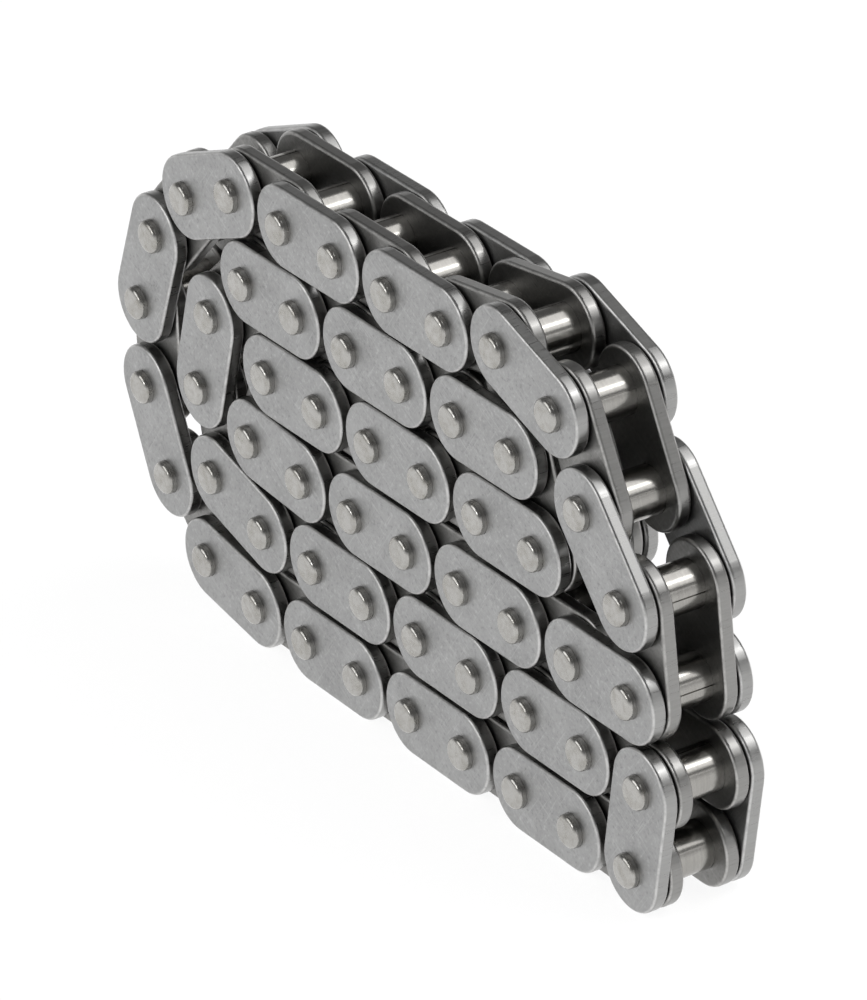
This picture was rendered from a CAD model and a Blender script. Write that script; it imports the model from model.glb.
import math

import bpy
from mathutils import Matrix, Vector

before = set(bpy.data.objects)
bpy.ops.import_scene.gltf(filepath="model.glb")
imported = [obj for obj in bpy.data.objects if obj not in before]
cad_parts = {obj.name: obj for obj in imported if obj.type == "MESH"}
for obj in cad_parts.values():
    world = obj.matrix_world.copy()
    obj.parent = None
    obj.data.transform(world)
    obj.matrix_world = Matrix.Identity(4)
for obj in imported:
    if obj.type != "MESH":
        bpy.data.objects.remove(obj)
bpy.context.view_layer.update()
scene = bpy.context.scene
scene.view_settings.view_transform = "Standard"

# Widths of the chain that part one finish from another, in metres
INNER_W = 0.00318
PLATE_T = 0.00104
SIDE_GAP = 0.00013
EASE = 0.000004
INNER_HALF = INNER_W / 2
OUTER_FACE = INNER_HALF + PLATE_T + SIDE_GAP + PLATE_T

# Finish of each kind of link: colours of plate faces, sheared edges and round pieces,
# then how stained, how rough and how dented the round pieces are
OUTER_FINISH = {
    "plate": (0.36, 0.36, 0.359),
    "edge": (0.36, 0.358, 0.352),
    "round": (0.45, 0.442, 0.422),
    "stain": 0.6,
    "rough": 0.18,
    "dent": 0.6,
}
INNER_FINISH = {
    "plate": (0.25, 0.247, 0.24),
    "edge": (0.3, 0.296, 0.288),
    "round": (0.37, 0.36, 0.34),
    "stain": 0.12,
    "rough": 0.2,
    "dent": 0.02,
}
BUMP_STRENGTH = 0.12
BUMP_DEPTH = 0.00002

# Scratches on the plates: direction in radians and how rare they are, then their length and width in metres
SCRATCHES = ((0.5, 0.63), (-0.9, 0.66))
SCRATCH_LENGTH = 0.0032
SCRATCH_WIDTH = 0.00009

# Floor: half width, drop below the chain, its own grey, and the share of the white below that it lets through
FLOOR_HALF = 3.0
FLOOR_DROP = 0.00002
FLOOR_GREY = 0.22
FLOOR_CLEAR = 0.9

# Studio: light from the horizon and below, light from overhead, and how steep a direction sees the dimmest
HORIZON = 1.0
CEILING = 0.16
CEILING_FROM = 0.43

# Lamps: the point they face, then each one's name, place, size and power
AIM = Vector((0.0, 0.0, 0.015))
LAMPS = (
    ("key", (0.2, 0.26, 0.44), (0.5, 0.4), 1.05),
    ("glint", (0.22, 0.23, 0.375), (0.09, 0.07), 0.11),
    ("fill", (-0.15, -0.45, 0.4), (0.4, 0.3), 0.7),
    ("front", (0.14, -0.45, 0.3), (0.14, 0.12), 0.3),
)

# Strip lamps along the bushes: each one's name, angle up from the right, and width
STRIPS = (("strip_low", 18.0, 0.03), ("strip_high", 98.0, 0.045))
STRIP_LENGTH = 0.5
STRIP_REACH = 0.5
STRIP_BACK = 0.465
STRIP_OUT = 0.885
STRIP_POWER_PER_AREA = 3.6

# Camera: the photograph's width and focal length in pixels, and the camera's place and directions
PHOTO_WIDTH = 867
FOCAL_PIXELS = 7364.33
SENSOR_MM = 36.0
CAMERA_PLACE = Vector((0.362484, -0.221138, 0.2322))
CAMERA_RIGHT = Vector((0.541844, 0.839101, -0.048104))
CAMERA_DOWN = Vector((0.357907, -0.282144, -0.890111))
CAMERA_AHEAD = Vector((-0.760465, 0.465085, -0.453198))


def new_material(name):
    material = bpy.data.materials.new(name)
    material.use_nodes = True
    tree = material.node_tree
    return material, tree, tree.nodes["Principled BSDF"]


def node(tree, kind, **settings):
    made = tree.nodes.new(kind)
    for key, value in settings.items():
        setattr(made, key, value)
    return made


def feed(tree, socket, value):
    """Set a socket to a number or colour, or link it to another node's output."""
    if isinstance(value, (int, float, tuple)):
        socket.default_value = value
    else:
        tree.links.new(value, socket)


def calc(tree, operation, *values):
    made = node(tree, "ShaderNodeMath", operation=operation)
    for socket, value in zip(made.inputs, values):
        feed(tree, socket, value)
    return made.outputs[0]


def remap(tree, value, from_low, from_high, to_low, to_high):
    made = node(tree, "ShaderNodeMapRange", clamp=True)
    feed(tree, made.inputs["Value"], value)
    made.inputs["From Min"].default_value = from_low
    made.inputs["From Max"].default_value = from_high
    made.inputs["To Min"].default_value = to_low
    made.inputs["To Max"].default_value = to_high
    return made.outputs["Result"]


def mix_color(tree, share, first, second):
    made = node(tree, "ShaderNodeMix", data_type="RGBA")
    feed(tree, made.inputs["Factor"], share)
    feed(tree, made.inputs[6], first)
    feed(tree, made.inputs[7], second)
    return made.outputs[2]


def mix_value(tree, share, first, second):
    made = node(tree, "ShaderNodeMix", data_type="FLOAT")
    feed(tree, made.inputs["Factor"], share)
    feed(tree, made.inputs[2], first)
    feed(tree, made.inputs[3], second)
    return made.outputs[0]


def noise(tree, vector, scale, detail, rough=0.55):
    made = node(tree, "ShaderNodeTexNoise")
    feed(tree, made.inputs["Vector"], vector)
    made.inputs["Scale"].default_value = scale
    made.inputs["Detail"].default_value = detail
    made.inputs["Roughness"].default_value = rough
    return made.outputs["Fac"]


def stretched(tree, vector, scale):
    made = node(tree, "ShaderNodeMapping")
    made.inputs["Scale"].default_value = scale
    feed(tree, made.inputs["Vector"], vector)
    return made.outputs["Vector"]


def along(tree, vector, angle):
    """Coordinates drawn out along a direction in the plates' plane, for fine scratches."""
    made = node(tree, "ShaderNodeMapping", vector_type="TEXTURE")
    made.inputs["Rotation"].default_value = (0.0, angle, 0.0)
    made.inputs["Scale"].default_value = (SCRATCH_LENGTH, SCRATCH_LENGTH, SCRATCH_WIDTH)
    feed(tree, made.inputs["Vector"], vector)
    return made.outputs["Vector"]


def tint(color, red, green=None, blue=None):
    """A colour times one factor, or times one factor for each of its parts."""
    factors = (red, red if green is None else green, red if blue is None else blue)
    return tuple(part * factor for part, factor in zip(color, factors)) + (1.0,)


def plate_face(tree, place, speck, color):
    """Cloudy, finely pitted plate with a few scratches."""
    cloud = noise(tree, place, 420.0, 3.0)
    face = mix_color(tree, remap(tree, cloud, 0.3, 0.7, 0.0, 1.0), tint(color, 0.88), tint(color, 1.03))
    face = mix_color(tree, remap(tree, speck, 0.56, 0.72, 0.0, 0.55), face, tint(color, 0.55))
    face = mix_color(tree, remap(tree, speck, 0.42, 0.3, 0.0, 0.5), face, tint(color, 1.45))
    for angle, rare in SCRATCHES:
        line = noise(tree, along(tree, place, angle), 1.0, 1.0)
        face = mix_color(tree, remap(tree, line, rare, rare + 0.06, 0.0, 0.45), face, tint(color, 1.35))
    return face


def sheared_edge(tree, streak, color):
    """Plate edge with the marks of the punch across it."""
    return mix_color(tree, remap(tree, streak, 0.3, 0.7, 0.0, 1.0), tint(color, 0.86), tint(color, 1.0))


def rubbed_rim(tree, place, facing):
    """Share of bright metal where a plate's edge rolls over into its face."""
    rub = noise(tree, place, 1300.0, 4.0, 0.7)
    outside = remap(tree, facing, 0.3, 0.62, 0.0, 1.0)
    inside = remap(tree, facing, 0.8, 0.97, 1.0, 0.0)
    worn = remap(tree, rub, 0.36, 0.6, 0.25, 0.9)
    return calc(tree, "MULTIPLY", calc(tree, "MULTIPLY", outside, inside), worn)


def round_metal(tree, place, blot, color, stain):
    """Pin or bush with stains and faint rings round its axis."""
    rings = noise(tree, stretched(tree, place, (250.0, 7000.0, 250.0)), 1.0, 2.0)
    metal = mix_color(tree, remap(tree, rings, 0.35, 0.65, 0.0, 1.0), tint(color, 0.92), tint(color, 1.0))
    stained = tint(color, 0.66, 0.64, 0.6)
    return mix_color(tree, remap(tree, blot, 0.42, 0.66, 0.0, stain), metal, stained)


def steel(name, finish, split, round_test):
    """Steel of one link, with faces, edges and round pieces told apart by place and direction."""
    material, tree, shader = new_material(name)
    coordinates = node(tree, "ShaderNodeTexCoord")
    place = coordinates.outputs["Object"]
    place_parts = node(tree, "ShaderNodeSeparateXYZ")
    feed(tree, place_parts.inputs[0], place)
    normal_parts = node(tree, "ShaderNodeSeparateXYZ")
    feed(tree, normal_parts.inputs[0], coordinates.outputs["Normal"])
    across = calc(tree, "ABSOLUTE", place_parts.outputs["Y"])
    facing = calc(tree, "ABSOLUTE", normal_parts.outputs["Y"])
    is_round = calc(tree, round_test, across, split)
    is_edge = remap(tree, facing, 0.35, 0.8, 1.0, 0.0)

    speck = noise(tree, place, 3600.0, 3.0, 0.7)
    streak = noise(tree, stretched(tree, place, (6000.0, 500.0, 6000.0)), 1.0, 3.0)
    blot = noise(tree, place, 1500.0, 4.0, 0.65)

    face = plate_face(tree, place, speck, finish["plate"])
    edge = sheared_edge(tree, streak, finish["edge"])
    plate = mix_color(tree, is_edge, face, edge)
    plate = mix_color(tree, rubbed_rim(tree, place, facing), plate, tint(finish["edge"], 1.75))
    metal = round_metal(tree, place, blot, finish["round"], finish["stain"])
    feed(tree, shader.inputs["Base Color"], mix_color(tree, is_round, plate, metal))

    face_rough = remap(tree, speck, 0.3, 0.7, 0.34, 0.46)
    edge_rough = remap(tree, streak, 0.3, 0.7, 0.26, 0.36)
    stained_rough = finish["rough"] + 0.2 * finish["stain"]
    round_rough = remap(tree, blot, 0.35, 0.7, finish["rough"], stained_rough)
    rough = mix_value(tree, is_round, mix_value(tree, is_edge, face_rough, edge_rough), round_rough)
    feed(tree, shader.inputs["Roughness"], rough)
    shader.inputs["Metallic"].default_value = 1.0

    edge_height = calc(tree, "MULTIPLY", streak, 0.35)
    round_height = calc(tree, "MULTIPLY", blot, finish["dent"])
    height = mix_value(tree, is_round, mix_value(tree, is_edge, speck, edge_height), round_height)
    bump = node(tree, "ShaderNodeBump")
    bump.inputs["Strength"].default_value = BUMP_STRENGTH
    bump.inputs["Distance"].default_value = BUMP_DEPTH
    feed(tree, bump.inputs["Height"], height)
    feed(tree, shader.inputs["Normal"], bump.outputs["Normal"])
    return material


def finish_links():
    """Give each link its steel: pins stand out past the outer plates, bushes lie between the inner ones."""
    outer = steel("outer_link_steel", OUTER_FINISH, OUTER_FACE + EASE, "GREATER_THAN")
    inner = steel("inner_link_steel", INNER_FINISH, INNER_HALF - EASE, "LESS_THAN")
    for name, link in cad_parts.items():
        link.data.materials.clear()
        link.data.materials.append(inner if name.startswith("inner") else outer)


def floor_material():
    """Clear floor over the white below it, with just enough grey of its own to hold a soft shadow."""
    material, tree, shader = new_material("floor_white")
    shader.inputs["Base Color"].default_value = (FLOOR_GREY, FLOOR_GREY, FLOOR_GREY, 1.0)
    shader.inputs["Roughness"].default_value = 0.7
    shader.inputs["Specular IOR Level"].default_value = 0.1
    clear = node(tree, "ShaderNodeBsdfTransparent")
    clear.inputs["Color"].default_value = (FLOOR_CLEAR, FLOOR_CLEAR, FLOOR_CLEAR, 1.0)
    both = node(tree, "ShaderNodeAddShader")
    feed(tree, both.inputs[0], shader.outputs[0])
    feed(tree, both.inputs[1], clear.outputs[0])
    feed(tree, tree.nodes["Material Output"].inputs["Surface"], both.outputs[0])
    return material


def make_floor():
    corners = [(x * FLOOR_HALF, y * FLOOR_HALF, 0.0) for x, y in ((-1, -1), (1, -1), (1, 1), (-1, 1))]
    mesh = bpy.data.meshes.new("floor")
    mesh.from_pydata(corners, [], [(0, 1, 2, 3)])
    mesh.materials.append(floor_material())
    floor = bpy.data.objects.new("floor", mesh)
    floor.location.z = -FLOOR_DROP
    scene.collection.objects.link(floor)


def make_surroundings():
    """The same for the camera and the metal: white at and below the horizon, under a dim ceiling."""
    world = bpy.data.worlds.new("studio")
    scene.world = world
    world.use_nodes = True
    tree = world.node_tree
    background = tree.nodes["Background"]
    coordinates = node(tree, "ShaderNodeTexCoord")
    parts = node(tree, "ShaderNodeSeparateXYZ")
    feed(tree, parts.inputs[0], coordinates.outputs["Generated"])
    level = remap(tree, parts.outputs["Z"], 0.0, CEILING_FROM, HORIZON, CEILING)
    feed(tree, background.inputs["Strength"], level)
    background.inputs["Color"].default_value = (1.0, 1.0, 1.0, 1.0)


def area_lamp(name, place, size, power):
    lamp = bpy.data.lights.new(name, "AREA")
    lamp.shape = "RECTANGLE"
    lamp.size, lamp.size_y = size
    lamp.energy = power
    holder = bpy.data.objects.new(name, lamp)
    holder.location = place
    holder.rotation_euler = (AIM - Vector(place)).to_track_quat("-Z", "Y").to_euler()
    scene.collection.objects.link(holder)
    return holder


def make_lamps():
    for name, place, size, power in LAMPS:
        area_lamp(name, place, size, power)
    # Narrow strips as long as the bushes' direction, for the fine bright lines on round metal
    for name, angle, width in STRIPS:
        up = math.radians(angle)
        way = Vector((STRIP_OUT * math.cos(up), STRIP_BACK, STRIP_OUT * math.sin(up)))
        power = STRIP_POWER_PER_AREA * width * STRIP_LENGTH
        strip = area_lamp(name, way * STRIP_REACH + AIM, (width, STRIP_LENGTH), power)
        strip.rotation_euler = (0.0, math.radians(90.0 - angle), 0.0)


def make_camera():
    """Camera at the photograph's viewing angle."""
    camera = bpy.data.cameras.new("camera")
    camera.sensor_fit = "HORIZONTAL"
    camera.sensor_width = SENSOR_MM
    camera.lens = FOCAL_PIXELS / PHOTO_WIDTH * SENSOR_MM
    camera.clip_start = 0.01
    camera.clip_end = 20.0
    holder = bpy.data.objects.new("camera", camera)
    turn = Matrix((CAMERA_RIGHT, -CAMERA_DOWN, -CAMERA_AHEAD)).transposed().to_4x4()
    holder.matrix_world = Matrix.Translation(CAMERA_PLACE) @ turn
    scene.collection.objects.link(holder)
    scene.camera = holder


finish_links()
make_floor()
make_surroundings()
make_lamps()
make_camera()
